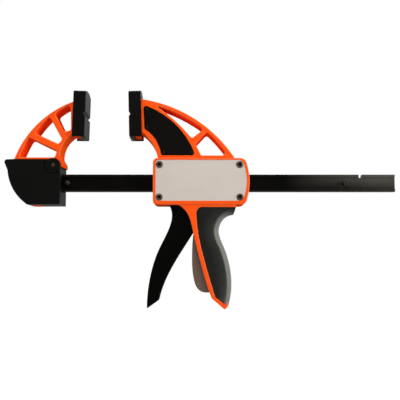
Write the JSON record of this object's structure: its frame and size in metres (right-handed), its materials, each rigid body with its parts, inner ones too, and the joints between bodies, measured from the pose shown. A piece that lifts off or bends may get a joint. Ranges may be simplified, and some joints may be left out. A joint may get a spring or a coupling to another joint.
{
  "type": "quick release bar clamp",
  "caption": "One-handed bar clamp: fixed jaw at the end of a steel bar, sliding jaw with squeeze trigger, release lever and soft handle",
  "frame": {"origin": "middle of the V-groove's mouth, in the centre of the fixed pad's clamping face", "axes": "+X along the bar from the fixed jaw to the moving jaw, +Z from the bar to the pads, Y is the thickness with the front at -Y"},
  "size_m": [0.451, 0.038, 0.2533],
  "materials": {
    "bar_black": "black oxide, satin",
    "pin_steel": "dark spring steel",
    "housing_black": "fine grain",
    "body_orange": "satin, smooth",
    "pad_rubber": "matte",
    "plain_steel": "plain",
    "cover_metal": "brushed along the bar",
    "screw_steel": "dark, satin",
    "insert_black": "fine grain",
    "small_screw": "black oxide",
    "grip_rubber": "soft matte",
    "trigger_black": "fine grain",
    "lever_grey": "satin"
  },
  "bodies": {
    "bar_and_fixed_jaw": {"bar": "bar_black", "stop_pins": "pin_steel", "jaw_housing": "housing_black", "fixed_arm": "body_orange", "jaw_pin": "pin_steel", "fixed_pad": "pad_rubber", "latch_spring": "plain_steel"},
    "jaw_latch": {"latch_stirrup": "plain_steel", "latch_button": "body_orange"},
    "moving_jaw": {"shell_front": "body_orange", "shell_rear": "body_orange", "cover_plate_front": "cover_metal", "cover_plate_rear": "cover_metal", "cover_screws": "screw_steel", "cover_nuts": "screw_steel", "insert_front": "insert_black", "insert_rear": "insert_black", "insert_screws_front": "small_screw", "insert_screws_rear": "small_screw", "moving_pad": "pad_rubber", "soft_grip": "grip_rubber", "trigger_pin": "plain_steel", "release_pin": "plain_steel", "drive_spring": "plain_steel", "brake_spring": "plain_steel"},
    "trigger": {"trigger": "trigger_black"},
    "drive_plates": {"drive_plates": "plain_steel"},
    "release_lever": {"release_lever": "lever_grey"},
    "brake_plates": {"brake_plates": "plain_steel"}
  },
  "joints": [
    {"name": "jaw_slide", "type": "slide", "parent": "bar_and_fixed_jaw", "child": "moving_jaw", "axis": [1, 0, 0], "range_m": [-0.048, 0.107]},
    {"name": "latch_press", "type": "slide", "parent": "bar_and_fixed_jaw", "child": "jaw_latch", "axis": [0, 0, 1], "range_m": [0, 0.004], "stiffness_N_per_m": 400, "springref_m": -0.002, "deforming": ["latch_spring"]},
    {"name": "trigger_squeeze", "type": "hinge", "parent": "moving_jaw", "child": "trigger", "pos_m": [0.098, 0, -0.0619], "axis": [0, -1, 0], "range_deg": [0, 14], "stiffness_Nm_per_rad": 0.8, "springref_deg": -5.73},
    {"name": "drive_slide", "type": "slide", "parent": "moving_jaw", "child": "drive_plates", "axis": [1, 0, 0], "range_m": [0, 0.0071], "deforming": ["drive_spring"]},
    {"name": "release_squeeze", "type": "hinge", "parent": "moving_jaw", "child": "release_lever", "pos_m": [0.15, 0, -0.062], "axis": [0, -1, 0], "range_deg": [0, 4.5], "stiffness_Nm_per_rad": 1, "springref_deg": -5.73},
    {"name": "brake_tilt", "type": "hinge", "parent": "moving_jaw", "child": "brake_plates", "pos_m": [0.16, 0, -0.0584], "axis": [0, -1, 0], "range_deg": [0, 4.2], "deforming": ["brake_spring"]}
  ],
  "couplings": [
    {"joint": "drive_slide", "follows": "trigger_squeeze", "m_per_rad": 0.0285},
    {"joint": "brake_tilt", "follows": "release_squeeze", "ratio": 0.895}
  ]
}
